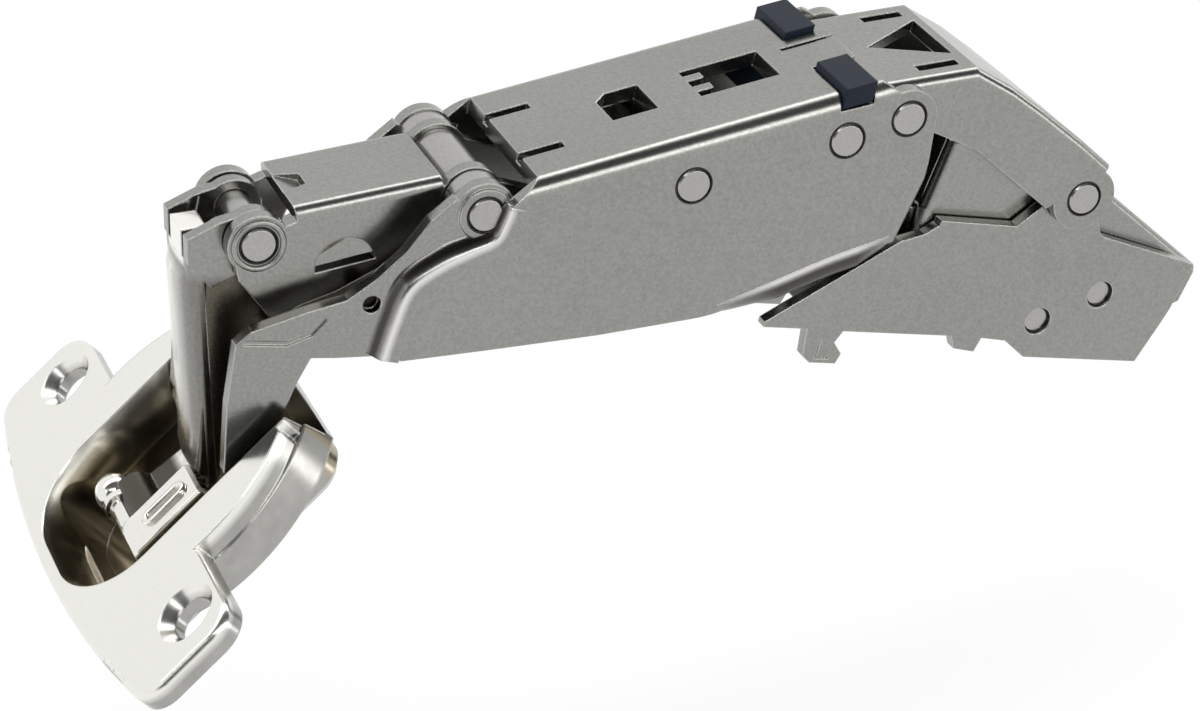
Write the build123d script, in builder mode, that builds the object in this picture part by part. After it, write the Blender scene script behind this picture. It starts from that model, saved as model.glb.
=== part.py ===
# Concealed hinge, wide opening, seven pivots, drawn open at 144 degrees
# x runs along the hinge to the rear, y across, z up from the base underside, all in mm
import os
from math import cos, radians, sin

from build123d import *

os.makedirs("parts", exist_ok=True)

# Lever lengths: between the outer lever's pivots, and from its front pivot to the front link
LEVER_LONG = 44.0
LEVER_RISE = 14.05
FRONT_LONG = 21.3
FRONT_FALL = 6.55

# Pivot places in the side view
P3 = (-55.4, 19.6)
P4 = (-39.3, 25.7)
P5 = (-32.8, 28.6)
P2 = (P5[0] - LEVER_LONG, P5[1] - LEVER_RISE)
P1 = (P2[0] - FRONT_LONG, P2[1] - FRONT_FALL)
P6 = (-7.2, 20.13)
P7 = (0.05, 8.05)
P8 = (-6.95, 4.45)
A1 = (-38.5, 11.8)

# Cup place: centre of the mouth and the lean of its plane
CUP_AHEAD = 24.67
CUP_BELOW = 32.77
CUP_X = P2[0] - CUP_AHEAD
CUP_Z = P2[1] - CUP_BELOW
CUP_LEAN = 54.0
C1_U = 5.2
C1_N = -4.5
C2_U = -6.3
C2_N = -4.3

# Sheet sizes and the gaps between neighbouring layers
OUTER_HALF = 11.4
OUTER_T = 1.6
JOGGLE = 1.4
FRONT_T = 1.5
LINK_T = 1.4
BASE_T = 1.4
INNER_T = 1.5
LAYER_GAP = 0.3
FOLD_R = 2.0
JOGGLE_R = 1.2

OUTER_IN = OUTER_HALF - OUTER_T
FRONT_HALF = OUTER_HALF - JOGGLE
FRONT_IN = FRONT_HALF - FRONT_T
LINK_HALF = OUTER_IN - LAYER_GAP
LINK_IN = LINK_HALF - LINK_T
BASE_HALF = LINK_IN - LAYER_GAP
BASE_IN = BASE_HALF - BASE_T
INNER_HALF = BASE_IN - LAYER_GAP
INNER_IN = INNER_HALF - INNER_T
CORE_HALF = INNER_IN - LAYER_GAP
CORE_IN = CORE_HALF - INNER_T

# Pins and their running room
PIN_R = 1.9
SMALL_PIN_R = 1.6
RUN = 0.06
HEAD_OUT = 0.15
HEAD_EDGE = 0.25
BOSS_R = 2.75
BOSS_OUT = 0.35
LOOP_ROOM = 3.4

# Cup sizes
CUP_R = 17.5
RING_DEPTH = 6.8
RING_STEP = 0.25
CUP_DEPTH = 10.2
FLOOR_N = -9.0
MOUTH_HALF = 11.7
WELL_HALF = 10.7
WELL_LONG = 26.2
WELL_MID = -1.4
CUP_WALL = 1.4
MOUTH_FRONT = -16.2
MOUTH_DEPTH = 5.6
MOUTH_LONG = 40.0
DRAFT = 10.0
MOUTH_CORNER = 9.0
CUP_FLAT = 14.0
NOTCH_U = 12.0
NOTCH_WIDE = 1.0
NOTCH_IN = 12.0
FLANGE_BACK = -1.85
FLANGE_HALF = 30.0
FLANGE_FRONT = -17.8
FLANGE_T = 2.6
SCREW_U = -6.0
SCREW_Y = 24.0
SCREW_R = 2.3
SINK_R = 3.45


def cup_point(u, n):
    """Side view point of a place given along and above the cup mouth."""
    lean = radians(CUP_LEAN)
    return (CUP_X + u * cos(lean) - n * sin(lean), CUP_Z + u * sin(lean) + n * cos(lean))


def near(place, dx, dz):
    """Side view point a little way from a pivot."""
    return (place[0] + dx, place[1] + dz)


def middle(first, second):
    """Side view point half way between two others."""
    return ((first[0] + second[0]) / 2, (first[1] + second[1]) / 2)


C1 = cup_point(C1_U, C1_N)
C2 = cup_point(C2_U, C2_N)
LEAN = radians(CUP_LEAN)
CUP_PLANE = Plane(
    origin=(CUP_X, 0, CUP_Z),
    x_dir=(cos(LEAN), 0, sin(LEAN)),
    z_dir=(-sin(LEAN), 0, cos(LEAN)),
)


def side(outline, y_from, y_to, eyes=(), mode=Mode.ADD):
    """Plate with a side view outline and round eyes, between two y values."""
    with BuildSketch(Plane.XZ.offset(-y_to)) as drawn:
        with BuildLine():
            Polyline(*outline, close=True)
        make_face()
        for place, radius in eyes:
            with Locations(place):
                Circle(radius)
    extrude(drawn.sketch, amount=y_to - y_from, mode=mode)


def walls(outline, y_in, y_out, eyes=(), mode=Mode.ADD):
    """The same plate on both sides of the middle."""
    side(outline, y_in, y_out, eyes, mode)
    side(outline, -y_out, -y_in, eyes, mode)


def round_bar(place, radius, y_from, y_to, mode=Mode.ADD):
    """Cylinder across the hinge at a side view place."""
    with BuildSketch(Plane.XZ.offset(-y_to)) as drawn:
        with Locations(place):
            Circle(radius)
    extrude(drawn.sketch, amount=y_to - y_from, mode=mode)


def bore(place, radius, half=40.0):
    """Hole across everything."""
    round_bar(place, radius, -half, half, Mode.SUBTRACT)


def web_hole(points, slope_z, depth=6.0):
    """Opening cut straight down through a web, outline given from above."""
    with BuildSketch(Plane.XY.offset(slope_z)) as drawn:
        with BuildLine():
            Polyline(*points, close=True)
        make_face()
    extrude(drawn.sketch, amount=-depth, mode=Mode.SUBTRACT)


def fold_edges(part, places, half):
    """Long outer fold edges nearest to the given side view places."""
    found = []
    for x, z in places:
        for y in (-half, half):
            found.append(part.edges().sort_by_distance((x, y, z))[0])
    return found


# Outer lever: the long channel with its joggled front plates
WEB_X = P2[0] + 7.6
WEB_Z = P2[1] + 5.35
WEB_SLOPE = 0.372


def web_top(x):
    """Height of the outer lever's top face."""
    return WEB_Z + WEB_SLOPE * (x - WEB_X)


LUG_FROM = -40.8
LUG_TO = -37.6
LUG_IN = 3.9
LUG_UP = 0.7
LUG_SIDE = 1.5

OUTER_FRONT = P2[0] + 4.8
OUTER_REAR = LUG_TO + 1.2
OUTER_END = 3.2
OUTER_LOW = ((-28.6, 20.5), (-29.9, 14.2), (-37.4, 10.9), (-47.3, 5.6))
OUTER_NOSE = (
    near(P2, -7.6, -15.15),
    near(P2, -6.6, -7.75),
    near(P2, -3.4, -5.35),
    near(P2, 1.4, -2.35),
    near(P2, 2.3, 1.55),
)
OUTER_SIDE = (
    *OUTER_NOSE,
    (OUTER_FRONT, web_top(OUTER_FRONT)),
    (OUTER_REAR, web_top(OUTER_REAR)),
    near(P5, -1.8, OUTER_END - 0.4),
    near(P5, OUTER_END, 0.0),
    *OUTER_LOW,
    (-61.9, 2.3),
    near(P2, 3.1, -14.45),
    near(P2, -6.0, -16.05),
)
WEB_MID = (OUTER_FRONT + OUTER_REAR) / 2
with BuildPart() as outer_lever:
    side(OUTER_SIDE, -OUTER_HALF, OUTER_HALF, ((P5, OUTER_END),))
    fillet(
        fold_edges(outer_lever, ((WEB_MID, web_top(WEB_MID)),), OUTER_HALF),
        radius=FOLD_R,
    )
    fillet(
        fold_edges(outer_lever, [middle(a, b) for a, b in zip(OUTER_LOW, OUTER_LOW[1:])], OUTER_HALF),
        radius=1.3,
    )
    fillet(
        fold_edges(outer_lever, [middle(a, b) for a, b in zip(OUTER_NOSE[:3], OUTER_NOSE[1:4])], OUTER_HALF),
        radius=JOGGLE_R,
    )
    DROP = OUTER_T / cos(radians(20.4))
    side(
        (
            (-90, -10),
            (-90, web_top(-90) - DROP),
            (-20, web_top(-20) - DROP),
            (-20, -10),
        ),
        -OUTER_IN,
        OUTER_IN,
        mode=Mode.SUBTRACT,
    )
    side(
        ((-90, 10), (-90, 30), (OUTER_FRONT, 30), (OUTER_FRONT, 10)),
        -OUTER_IN,
        OUTER_IN,
        mode=Mode.SUBTRACT,
    )
    round_bar(P5, 4.6, -OUTER_IN, OUTER_IN, Mode.SUBTRACT)
    side(
        ((OUTER_REAR, 20), (OUTER_REAR, 40), (-20, 40), (-20, 20)),
        -OUTER_IN,
        OUTER_IN,
        mode=Mode.SUBTRACT,
    )
    FRONT_SIDE = (
        near(P2, -3.3, 1.35),
        near(P2, -5.5, -1.15),
        near(P2, -7.4, -4.75),
        near(P2, -9.9, -7.85),
        near(P2, -12.5, -10.25),
        near(P2, -16.4, -11.75),
        near(P2, -21.7, -14.15),
        near(P2, -23.1, -15.75),
        near(P2, -22.7, -22.55),
        near(C1, -3.62, 1.25),
        near(C1, -1.72, -2.35),
        near(C1, 1.78, -2.35),
        near(C1, 1.58, 2.85),
        near(P2, -17.0, -24.45),
        near(P2, -15.9, -19.55),
        near(P2, -15.0, -16.75),
        near(P2, -12.5, -16.65),
        near(P2, -5.8, -16.05),
        near(P2, -1.2, -12.55),
        near(P2, 2.2, -2.55),
    )
    walls(FRONT_SIDE, FRONT_IN, FRONT_HALF, ((P2, 3.3), (C1, 3.1)))
    JOGGLE_SIDE = (
        near(P2, -7.6, -15.15),
        near(P2, -6.6, -7.75),
        near(P2, -3.4, -5.35),
        near(P2, 1.4, -2.35),
        near(P2, 2.3, -0.55),
        near(P2, 6.8, -2.55),
        near(P2, 3.1, -12.55),
        near(P2, -6.0, -15.75),
    )
    walls(JOGGLE_SIDE, FRONT_IN, FRONT_HALF + 0.1)
    round_bar(P2, BOSS_R, FRONT_HALF - 0.2, FRONT_HALF + BOSS_OUT)
    round_bar(P2, BOSS_R, -FRONT_HALF - BOSS_OUT, -FRONT_HALF + 0.2)
    for place in (P3, P4, P5):
        bore(place, PIN_R)
    bore(P2, PIN_R)
    bore(C1, SMALL_PIN_R + RUN)
    for y_from, y_to in ((FRONT_HALF - 1.0, FRONT_HALF + 1), (-FRONT_HALF - 1, -FRONT_HALF + 1.0)):
        round_bar(near(P2, -9.8, -10.55), 0.95, y_from, y_to, Mode.SUBTRACT)
    walls(
        (
            near(P2, -22.2, -15.65),
            near(P2, -17.8, -15.55),
            near(P2, -15.4, -14.35),
            near(P2, -14.1, -12.45),
            near(P2, -14.5, -12.25),
            near(P2, -15.8, -13.95),
            near(P2, -17.9, -15.05),
            near(P2, -22.2, -15.15),
        ),
        FRONT_HALF - 0.25,
        FRONT_HALF + 1,
        mode=Mode.SUBTRACT,
    )
    web_hole(((-61.8, -3.0), (-57.0, -3.0), (-57.0, 3.0), (-60.4, 3.0), (-61.8, 1.6)), 30, 12)
    web_hole(
        (
            (-52.6, -3.1),
            (-44.2, -3.1),
            (-44.2, 3.1),
            (-52.6, 3.1),
            (-52.6, 1.9),
            (-50.8, 1.9),
            (-50.8, 0.7),
            (-52.6, 0.7),
            (-52.6, -0.7),
            (-50.8, -0.7),
            (-50.8, -1.9),
            (-52.6, -1.9),
        ),
        32,
        9,
    )
    web_hole(((-42.0, 1.6), (-36.0, 1.6), (-36.0, 2.2), (-42.0, 2.2)), 36, 9)
    for y in (-4.85, 4.85):
        FORK = (P2[0] + 3.8, P2[0] + 9.2)
        web_hole(((FORK[0], y - 0.65), (FORK[1], y - 0.65), (FORK[1], y + 0.65), (FORK[0], y + 0.65)), 24)
    WINDOW = ((LUG_FROM - 0.2, 27), (LUG_FROM - 0.2, 38), (OUTER_REAR + 0.4, 38), (OUTER_REAR + 0.4, 27))
    walls(WINDOW, LUG_IN - 0.3, OUTER_IN, mode=Mode.SUBTRACT)
    WINDOW_EDGE = (
        (LUG_FROM - 0.2, web_top(LUG_FROM) - LUG_SIDE - 0.2),
        (LUG_FROM - 0.2, 38),
        (LUG_TO + 0.2, 38),
        (LUG_TO + 0.2, web_top(LUG_TO) - LUG_SIDE - 0.2),
    )
    walls(WINDOW_EDGE, OUTER_IN - 0.1, OUTER_HALF + 1, mode=Mode.SUBTRACT)

outer_lever.part.label = "outer_lever"
export_step(outer_lever.part, "parts/outer_lever.step")

# Dark plastic guide between the outer lever walls, with two lugs under the windows
GUIDE_SIDE = ((-43.0, 23.5), (-38.6, 23.5), (-38.2, 29.0), (-43.0, 27.3))
with BuildPart() as guide_block:
    side(GUIDE_SIDE, -OUTER_IN + 0.05, OUTER_IN - 0.05)
    LUG_TOP = ((LUG_TO, web_top(LUG_TO) + LUG_UP), (LUG_FROM, web_top(LUG_FROM) + LUG_UP))
    walls(((LUG_FROM, 27.5), (LUG_TO, 28.5), *LUG_TOP), LUG_IN, OUTER_IN - 0.3)
    LUG_LOW = ((LUG_FROM, web_top(LUG_FROM) - LUG_SIDE), (LUG_TO, web_top(LUG_TO) - LUG_SIDE))
    walls(LUG_LOW + LUG_TOP, OUTER_IN - 0.5, OUTER_HALF - 0.15)
    bore(P4, PIN_R)
guide_block.part.label = "guide_block"
export_step(guide_block.part, "parts/guide_block.step")


def export_pin(label, place, radius, y_from, y_to, edge=HEAD_EDGE):
    """Make one pin, with softened ends where they show, and write it."""
    with BuildPart() as pin:
        round_bar(place, radius, y_from, y_to)
        if edge > 0:
            chamfer(pin.edges().filter_by(GeomType.CIRCLE), length=edge)
    pin.part.label = label
    export_step(pin.part, "parts/" + label + ".step")


export_pin("spring_pin", P3, PIN_R, -OUTER_HALF - HEAD_OUT, OUTER_HALF + HEAD_OUT)
export_pin("guide_pin", P4, PIN_R, -OUTER_HALF - HEAD_OUT, OUTER_HALF + HEAD_OUT)
export_pin("rear_axle", P5, PIN_R, -OUTER_HALF - HEAD_OUT, OUTER_HALF + HEAD_OUT)
BOSS_HALF = FRONT_HALF + BOSS_OUT
export_pin("centre_axle", P2, PIN_R, -BOSS_HALF - HEAD_OUT, BOSS_HALF + HEAD_OUT)
export_pin("front_axle", P1, PIN_R, -INNER_HALF - HEAD_OUT, INNER_HALF + HEAD_OUT)
export_pin("base_axle", P6, PIN_R, -LINK_HALF - HEAD_OUT, LINK_HALF + HEAD_OUT)
export_pin("lever_axle", A1, SMALL_PIN_R, -INNER_HALF - 0.1, INNER_HALF + 0.1, 0)
export_pin("base_pin_rear", P7, SMALL_PIN_R, -BASE_HALF + 0.5, BASE_HALF - 0.5)
export_pin("base_pin_front", P8, SMALL_PIN_R, -BASE_HALF + 0.5, BASE_HALF - 0.5)
export_pin("link_axle", C2, SMALL_PIN_R, -CORE_HALF - 1.2, CORE_HALF + 1.2)
export_pin("cup_pin_near", C1, SMALL_PIN_R, -WELL_HALF - 1.2, -FRONT_IN + 0.6, 0)
export_pin("cup_pin_far", C1, SMALL_PIN_R, FRONT_IN - 0.6, WELL_HALF + 1.2, 0)


def export_bush(label, place, hole_r, outer_r, y_from, y_to):
    """Make one spacer ring and write it."""
    with BuildPart() as bush:
        round_bar(place, outer_r, y_from, y_to)
        bore(place, hole_r)
    bush.part.label = label
    export_step(bush.part, "parts/" + label + ".step")


export_bush("centre_bush_near", P2, PIN_R, 3.1, -FRONT_IN, -INNER_HALF - 0.15)
export_bush("centre_bush_far", P2, PIN_R, 3.1, INNER_HALF + 0.15, FRONT_IN)
export_bush("centre_sleeve", P2, PIN_R + RUN, 2.8, -INNER_IN + 0.05, INNER_IN - 0.05)

# Inner lever: short folded front, two long arms running back to the base
INNER_SIDE = (
    near(P2, -23.5, -8.35),
    near(P2, -22.6, -10.55),
    near(P2, -18.0, -14.95),
    near(P2, -15.8, -12.95),
    near(P2, -12.2, -11.15),
    near(P2, -6.2, -6.95),
    near(P2, 0.8, -3.95),
    (-60.0, 8.2),
    (-42.0, 8.6),
    (-38.0, 15.2),
    (-54.0, 14.2),
    (-66.0, 15.0),
    near(P2, 2.6, 1.85),
    near(P2, -2.7, 0.45),
    near(P2, -17.9, -3.8),
    near(P2, -19.2, -4.55),
)
with BuildPart() as inner_lever:
    FRONT_WEB = (near(P2, -17.8, -3.95), near(P2, -18.3, -2.45), near(P2, -3.5, 1.85), near(P2, -3.0, 0.35))
    side(FRONT_WEB, -INNER_HALF, INNER_HALF)
    fillet(fold_edges(inner_lever, (near(P2, -11.2, -0.35),), INNER_HALF), radius=1.2)
    walls(INNER_SIDE, INNER_IN, INNER_HALF, ((P1, 3.2), (P2, 3.3), (A1, 3.4)))
    NICK = (P2[0] - 18.7, P2[0] - 15.8)
    web_hole(((NICK[0], -2.2), (NICK[1], -1.2), (NICK[1], 1.2), (NICK[0], 2.2)), 20, 8)
    bore(P1, PIN_R)
    bore(P2, PIN_R + RUN)
    bore(A1, SMALL_PIN_R)
    with BuildSketch(Plane.XZ.offset(-20)) as moon:
        with BuildLine():
            chord = Line(near(P2, -14.9, -9.25), near(P2, -8.8, -7.25))
            ThreePointArc(chord @ 1, near(P2, -11.1, -5.25), chord @ 0)
        make_face()
    extrude(moon.sketch, amount=40, mode=Mode.SUBTRACT)
inner_lever.part.label = "inner_lever"
export_step(inner_lever.part, "parts/inner_lever.step")

# Front link: strap from the inner lever down into the cup, with a foot and a rolled eye
LINK_SIDE = (
    near(P1, -6.8, -0.7),
    near(P1, -6.1, -3.8),
    near(C2, 3.8, 5.24),
    near(C2, 1.0, 2.24),
    near(C2, -1.3, -0.36),
    near(C2, 0.3, -2.16),
    near(C2, 3.5, 0.24),
    near(C2, 5.6, 3.04),
    near(C2, 5.4, 5.24),
    near(P1, -4.5, -3.8),
    near(P1, -4.2, -0.1),
)
with BuildPart() as front_link:
    side(LINK_SIDE, -CORE_HALF, CORE_HALF, ((C2, SMALL_PIN_R + 0.9),))
    fillet(fold_edges(front_link, (middle(LINK_SIDE[1], LINK_SIDE[2]),), CORE_HALF), radius=0.9)
    EAR_SIDE = (
        near(P1, -6.2, -3.4),
        near(P1, -6.8, -0.7),
        near(P1, -3.7, 1.4),
        near(P1, 0.2, 3.0),
        near(P1, 0.9, -2.9),
        near(P1, -3.3, -5.8),
    )
    walls(EAR_SIDE, CORE_IN, CORE_HALF, ((P1, 3.0),))
    EAR_SLIT = (near(P1, -7.9, -3.4), near(P1, -7.9, 1.0), near(P1, -3.8, 1.0), near(P1, -3.8, -3.4))
    walls(EAR_SLIT, 1.9, 2.9, mode=Mode.SUBTRACT)
    bore(P1, PIN_R + RUN)
    bore(C2, SMALL_PIN_R)
front_link.part.label = "front_link"
export_step(front_link.part, "parts/front_link.step")

# Rear link: bent channel over the base ears
REAR_TOP = ((-37.0, 30.8), (-24.7, 33.85), (-19.7, 31.95), (-15.2, 29.75), (-9.0, 26.45), (-4.8, 24.0))
REAR_LOW = ((-11.6, 18.7), (-22.3, 24.85), (-28.5, 26.6), (-31.0, 25.2), (-36.0, 25.6))
with BuildPart() as rear_link:
    side(REAR_TOP + REAR_LOW, -LINK_HALF, LINK_HALF, ((P6, 3.7),))
    fillet(
        fold_edges(rear_link, ((-31, 32.3), (-22.2, 32.9), (-17.4, 30.85), (-12, 28.1)), LINK_HALF),
        radius=1.2,
    )
    with BuildSketch(Plane.XZ.offset(-30)) as nose:
        with Locations((P5[0] - 10, P5[1])):
            Rectangle(20, 30)
        with Locations(P5):
            Circle(4.25, mode=Mode.SUBTRACT)
    extrude(nose.sketch, amount=60, mode=Mode.SUBTRACT)
    REAR_INNER = (
        (-40.0, 28.6),
        (-24.9, 32.35),
        (-20.2, 30.6),
        (-15.8, 28.45),
        (-7.7, 24.15),
        (-7.7, 40),
        (5, 40),
        (5, 0),
        (-40, 0),
    )
    side(REAR_INNER, -LINK_IN, LINK_IN, mode=Mode.SUBTRACT)
    web_hole(((-33.0, 0.0), (-25.5, -4.6), (-25.5, 4.6)), 40, 20)
    web_hole(((-30.6, 5.9), (-26.0, 5.9), (-26.0, 7.3), (-30.6, 7.3)), 40, 20)
    web_hole(((-30.6, -7.3), (-26.0, -7.3), (-26.0, -5.9), (-30.6, -5.9)), 40, 20)
    bore(P5, PIN_R + RUN)
    bore(P6, PIN_R + RUN)
rear_link.part.label = "rear_link"
export_step(rear_link.part, "parts/rear_link.step")

# Base channel: two side walls joined by a floor, with hooks that catch a mounting plate
BASE_SIDE = (
    (-40.8, 2.3),
    (-40.8, 2.9),
    (-27.2, 13.1),
    (-24.5, 14.1),
    (-23.0, 15.2),
    (-22.9, 15.8),
    (-13.3, 15.7),
    (-10.9, 18.2),
    (-3.6, 17.5),
    (-2.4, 15.4),
    (-1.7, 15.0),
    (11.1, 12.4),
    (9.9, 6.7),
    (9.3, 4.9),
    (7.5, 0.0),
    (-7.4, 0.0),
    (-10.4, 1.9),
    (-13.5, 2.1),
    (-14.0, 0.4),
    (-16.7, 0.7),
    (-17.4, 2.2),
    (-31.0, 2.2),
    (-31.7, 0.8),
    (-30.5, -0.5),
    (-30.9, -1.7),
    (-34.1, -1.7),
    (-35.1, -1.0),
    (-35.5, 2.3),
)
with BuildPart() as base_channel:
    walls(BASE_SIDE, BASE_IN, BASE_HALF, ((P6, 3.9),))
    side(((-30.0, 2.2), (-30.0, 3.6), (-11.0, 3.6), (-11.0, 2.2)), -BASE_IN - 0.2, BASE_IN + 0.2)
    side(((-6.5, 0.0), (-6.5, 1.3), (6.5, 1.3), (6.5, 0.0)), -BASE_IN - 0.2, BASE_IN + 0.2)
    bore(P6, PIN_R)
    bore(P7, SMALL_PIN_R)
    bore(P8, SMALL_PIN_R)
    walls(
        ((-33.6, -1.2), (-31.9, -1.2), (-31.9, -1.0), (-33.4, -1.0), (-33.4, 1.2), (-33.6, 1.2)),
        BASE_HALF - 0.2,
        BASE_HALF + 1,
        mode=Mode.SUBTRACT,
    )
base_channel.part.label = "base_channel"
export_step(base_channel.part, "parts/base_channel.step")

# Inner slide: carries the lever pivot in front and closes the top at the rear
LOOP_PLACE = (A1[0] - 0.45, A1[1] + 0.05)
SLIDE_FOLD = -24.3
SLIDE_FRONT = ((-43.0, 9.5), (-38.0, 16.4), (-30.0, 15.4), (-21.0, 15.9), (-21.0, 4.2), (-36.0, 4.2))
SLIDE_REAR = (
    (SLIDE_FOLD, 4.2),
    (SLIDE_FOLD, 16.2),
    (-23.2, 24.2),
    (-17.5, 24.0),
    (-11.0, 21.0),
    (-4.2, 21.0),
    (12.9, 11.4),
    (12.0, 7.0),
    (7.6, 4.2),
)
with BuildPart() as slide:
    side(SLIDE_REAR, -INNER_HALF, INNER_HALF, ((P6, 3.7),))
    fillet(fold_edges(slide, (middle(SLIDE_REAR[5], SLIDE_REAR[6]),), INNER_HALF), radius=1.0)
    fillet(
        fold_edges(slide, [middle(a, b) for a, b in zip(SLIDE_REAR[:2], SLIDE_REAR[1:3])], INNER_HALF),
        radius=1.2,
    )
    side(
        ((-60, 0), (-60, 40), (2.0, 40), (2.0, 15.8), (12.6, 9.9), (12.6, 0)),
        -INNER_IN,
        INNER_IN,
        mode=Mode.SUBTRACT,
    )
    walls(SLIDE_FRONT, CORE_IN, CORE_HALF, ((LOOP_PLACE, 5.0),))
    walls(
        ((SLIDE_FOLD + 0.6, 4.2), (SLIDE_FOLD + 0.6, 15.9), (-21.0, 15.9), (-21.0, 4.2)),
        CORE_IN,
        INNER_IN + 0.2,
    )
    side(((-28, 4.2), (-28, 5.6), (-12, 5.6), (-12, 4.2)), -CORE_IN - 0.2, CORE_IN + 0.2)
    bore(LOOP_PLACE, LOOP_ROOM)
    bore(P6, PIN_R)
    bore(P7, SMALL_PIN_R)
    bore(P8, SMALL_PIN_R)
slide.part.label = "slide"
export_step(slide.part, "parts/slide.step")

# Cup: die-cast flange with two screw holes, a round ring and a deeper well
MOUTH_AXIS = Axis((CUP_X, 0, CUP_Z), (-sin(LEAN), 0, cos(LEAN)))
with BuildPart() as cup:
    with BuildSketch(CUP_PLANE) as flange:
        with BuildLine():
            Line((FLANGE_BACK, -FLANGE_HALF), (FLANGE_BACK, FLANGE_HALF))
            Line((FLANGE_BACK, FLANGE_HALF), (-14.2, FLANGE_HALF))
            ThreePointArc((-14.2, FLANGE_HALF), (FLANGE_FRONT, 0), (-14.2, -FLANGE_HALF))
            Line((-14.2, -FLANGE_HALF), (FLANGE_BACK, -FLANGE_HALF))
        make_face()
        fillet(flange.vertices(), radius=3.4)
    extrude(flange.sketch, amount=-FLANGE_T)
    fillet(cup.faces().sort_by(MOUTH_AXIS)[-1].edges(), radius=0.8)
    for radius, top, depth in ((CUP_R - RING_STEP, 0.0, FLANGE_T), (CUP_R, FLANGE_T, RING_DEPTH)):
        with BuildSketch(CUP_PLANE.offset(-top)) as ring:
            Circle(radius)
            with Locations((CUP_FLAT + CUP_R, 0)):
                Rectangle(2 * CUP_R, 4 * CUP_R, mode=Mode.SUBTRACT)
        extrude(ring.sketch, amount=top - depth)
    with BuildSketch(CUP_PLANE) as well:
        with Locations((WELL_MID, 0)):
            RectangleRounded(WELL_LONG + 2 * CUP_WALL, 2 * WELL_HALF + 2 * CUP_WALL, 6.3)
        with Locations((WELL_MID + WELL_LONG / 4, 0)):
            RectangleRounded(WELL_LONG / 2 + 2 * CUP_WALL, 2 * WELL_HALF + 2 * CUP_WALL, 3.8)
    extrude(well.sketch, amount=-CUP_DEPTH)
    chamfer(cup.faces().sort_by(MOUTH_AXIS)[0].edges(), length=1.0)
    with BuildSketch(CUP_PLANE) as mouth:
        with Locations((MOUTH_FRONT + MOUTH_LONG / 2, 0)):
            RectangleRounded(MOUTH_LONG, 2 * MOUTH_HALF, MOUTH_CORNER)
    extrude(mouth.sketch, amount=-MOUTH_DEPTH, taper=DRAFT, mode=Mode.SUBTRACT)
    with BuildSketch(CUP_PLANE.offset(2)) as inside:
        with Locations((WELL_MID, 0)):
            RectangleRounded(WELL_LONG, 2 * WELL_HALF, 5.0)
        with Locations((WELL_MID + WELL_LONG / 4, 0)):
            RectangleRounded(WELL_LONG / 2, 2 * WELL_HALF, 2.5)
    extrude(inside.sketch, amount=-2 + FLOOR_N, mode=Mode.SUBTRACT)
    with BuildSketch(CUP_PLANE.offset(2)) as notches:
        with Locations((NOTCH_U, NOTCH_IN + 5), (NOTCH_U, -NOTCH_IN - 5)):
            Rectangle(NOTCH_WIDE, 10)
    extrude(notches.sketch, amount=-2 - FLANGE_T, mode=Mode.SUBTRACT)
    with BuildSketch(CUP_PLANE.offset(0.5)) as screws:
        with Locations((SCREW_U, SCREW_Y), (SCREW_U, -SCREW_Y)):
            Circle(SCREW_R)
    extrude(screws.sketch, amount=-10, mode=Mode.SUBTRACT)
    for y in (-SCREW_Y, SCREW_Y):
        with Locations(CUP_PLANE * Location((SCREW_U, y, -0.6))):
            Cone(SCREW_R, SINK_R, 1.2, mode=Mode.SUBTRACT)
    bore(C1, SMALL_PIN_R, WELL_HALF + 1.2)
cup.part.label = "cup"
export_step(cup.part, "parts/cup.step")
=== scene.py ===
"""Looks of a concealed wide-opening cabinet hinge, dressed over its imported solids."""

import logging
import math
from dataclasses import dataclass, field
from enum import Enum
from typing import Any

import bmesh
import bpy
from mathutils import Matrix, Vector


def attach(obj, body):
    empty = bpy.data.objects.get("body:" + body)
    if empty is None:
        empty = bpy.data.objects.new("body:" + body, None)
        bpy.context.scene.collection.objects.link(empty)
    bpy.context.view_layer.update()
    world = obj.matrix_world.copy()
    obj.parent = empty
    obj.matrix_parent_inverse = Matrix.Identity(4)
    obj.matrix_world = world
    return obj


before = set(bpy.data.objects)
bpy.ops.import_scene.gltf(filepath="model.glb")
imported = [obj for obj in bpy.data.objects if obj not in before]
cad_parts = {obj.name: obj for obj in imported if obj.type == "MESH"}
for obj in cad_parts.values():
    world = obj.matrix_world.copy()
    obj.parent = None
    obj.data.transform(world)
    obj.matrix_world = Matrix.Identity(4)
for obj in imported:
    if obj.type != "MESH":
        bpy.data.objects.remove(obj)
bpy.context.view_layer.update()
LOG = logging.getLogger("hinge")
MM = 0.001
WELD = 0.002 * MM
SHARP = math.radians(38.0)
BEVEL_STEPS = 3
ROUND_PROFILE = 0.5
NOISE_MIDDLE = 0.5
WHITE = (1.0, 1.0, 1.0, 1.0)
ACROSS = (0.0, 1.0, 0.0)
SIDES = (-1.0, 1.0)
SQUARE = ((-1, -1), (1, -1), (1, 1), (-1, 1))
FOLD_SHARE = "fold_share"
FOLD_FADE = "fold_fade"
Flat = tuple[float, float]
Place = tuple[float, float, float]
Colour = tuple[float, float, float]


def to_metres(place: Place) -> Place:
    """A place in mm as one in metres."""
    return tuple(value * MM for value in place)


@dataclass(frozen=True)
class CupFrame:
    """The cup's mouth in the photo's pose: its middle in mm, and how far it leans."""

    mouth: Place = (-101.47, 0.0, -18.22)
    lean: float = math.radians(54.0)

    def along(self) -> Place:
        """Direction along the mouth, from its front edge to its back."""
        return (math.cos(self.lean), 0.0, math.sin(self.lean))

    def up(self) -> Place:
        """Direction out of the mouth."""
        return (-math.sin(self.lean), 0.0, math.cos(self.lean))

    def place(self, u: float, y: float, n: float) -> Vector:
        """A place given along, across and above the mouth, in mm."""
        axes = zip(self.mouth, self.along(), self.up())
        return Vector([middle + u * a + n * b for middle, a, b in axes]) + Vector((0.0, y, 0.0))


CUP = CupFrame()


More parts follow.
